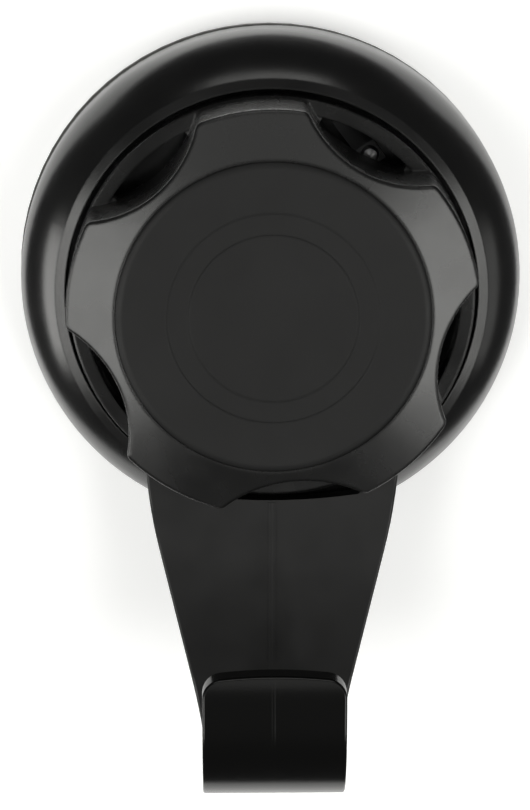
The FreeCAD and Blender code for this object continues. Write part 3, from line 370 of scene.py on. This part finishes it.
# ------------------------------------------------------------------ backdrop and world
WHITE = (1, 1, 1, 1)
PANEL_MIDDLE = (-0.0005, 0.0006, -0.1235)  # just behind the wall's plane
PANEL_WIDE, PANEL_TALL = 0.111, 0.354
PANEL_TONE, PANEL_LIFT = 0.96, 0.26        # its colour, and the strength of its glow
PAPER_ROUGHNESS = 0.9
WORLD_STRENGTH = 0.08


def white_to_camera(name, tone, lift):
    """Pale paper that glows a little where it is seen, also in gloss and through clear pieces.

    It keeps the object's shadow. From behind and to shadow rays it isn't there.
    """
    material, tree, surface = new_material(name)
    path = add(tree, "ShaderNodeLightPath", {}).outputs
    seen = path["Is Camera Ray"]
    for extra in ("Is Glossy Ray", "Is Transmission Ray"):
        seen = calculate(tree, "ADD", seen, path[extra], clamp=True)
    feed(tree, surface, {"Base Color": (tone, tone, tone, 1), "Roughness": PAPER_ROUGHNESS,
                         "Specular IOR Level": 0.0, "Emission Color": WHITE,
                         "Emission Strength": calculate(tree, "MULTIPLY", seen, lift)})
    clear = add(tree, "ShaderNodeBsdfTransparent", {})
    behind = add(tree, "ShaderNodeNewGeometry", {}).outputs["Backfacing"]
    unseen = calculate(tree, "MAXIMUM", behind, path["Is Shadow Ray"])
    either = add(tree, "ShaderNodeMixShader",
                 {0: unseen, 1: surface.outputs[0], 2: clear.outputs[0]})
    feed(tree, tree.nodes["Material Output"], {"Surface": either.outputs[0]})
    return material


bpy.ops.mesh.primitive_plane_add(size=1, location=PANEL_MIDDLE, rotation=(math.radians(90), 0, 0))
wall = bpy.context.object
wall.name = "backdrop"
wall.scale = (PANEL_WIDE, PANEL_TALL, 1)
wall.data.materials.append(white_to_camera("backdrop_white", PANEL_TONE, PANEL_LIFT))

world = bpy.data.worlds.new("studio")
scene.world = world
world.use_nodes = True
feed(world.node_tree, world.node_tree.nodes["Background"],
     {"Color": WHITE, "Strength": WORLD_STRENGTH})

# ------------------------------------------------------------------ lamps
LAMP_COLOUR = (1.0, 1.0, 0.97)
LAMPS_AIM = Vector((0, -0.02, -0.02))
SOFTBOXES = (
    # name, degrees from straight in front, level, distance, width, height, radiance in reflections
    ("front_left", -33, -0.20, 1.1, 0.62, 0.78, 5.0),
    ("side_left", -84, -0.20, 0.9, 0.40, 0.60, 5.0),
    ("front_right", 33, -0.20, 1.1, 0.62, 0.78, 5.0),
    ("side_right", 84, -0.20, 0.9, 0.40, 0.60, 0.9),
    ("front_fill", 0, 0.38, 1.1, 0.9, 0.4, 0.8),
    ("top_softbox", 0, 1.2, 0.55, 0.9, 0.5, 2.0),
    ("back_softbox", 180, 0.35, 0.9, 0.5, 0.5, 5.0),
)

for name, azimuth, level, distance, wide, tall, radiance in SOFTBOXES:
    lamp_data = bpy.data.lights.new(name, "AREA")
    lamp_data.shape = "RECTANGLE"
    lamp_data.color = LAMP_COLOUR
    lamp_data.size = wide
    lamp_data.size_y = tall
    lamp_data.energy = radiance * math.pi * wide * tall
    lamp = bpy.data.objects.new(name, lamp_data)
    scene.collection.objects.link(lamp)
    turn = math.radians(azimuth)
    lamp.location = (distance * math.sin(turn), -distance * math.cos(turn), level)
    lamp.rotation_mode = "QUATERNION"
    lamp.rotation_quaternion = (LAMPS_AIM - lamp.location).to_track_quat("-Z", "Y")

# ------------------------------------------------------------------ camera
IMAGE_HEIGHT = 810           # in pixels, and so is the focal length
FOCAL_PIXELS = 3000.8
SENSOR_HEIGHT = 36.0         # in millimetres
AZIMUTH = math.radians(-0.80738)
ELEVATION = math.radians(14.48394)
CAMERA_PLACE = (-0.008476, -0.538679, 0.113272)

camera_data = bpy.data.cameras.new("camera")
camera = bpy.data.objects.new("camera", camera_data)
scene.collection.objects.link(camera)
scene.camera = camera
camera_data.sensor_fit = "VERTICAL"
camera_data.sensor_height = SENSOR_HEIGHT
camera_data.lens = FOCAL_PIXELS / IMAGE_HEIGHT * SENSOR_HEIGHT
camera_data.clip_start = 0.01
camera_data.clip_end = 10
camera.location = CAMERA_PLACE
back = Vector((math.sin(AZIMUTH) * math.cos(ELEVATION), -math.cos(AZIMUTH) * math.cos(ELEVATION),
               math.sin(ELEVATION)))
right = Vector((math.cos(AZIMUTH), math.sin(AZIMUTH), 0))
camera.rotation_mode = "QUATERNION"
camera.rotation_quaternion = Matrix((right, back.cross(right), back)).transposed().to_quaternion()

scene.view_settings.view_transform = "Standard"
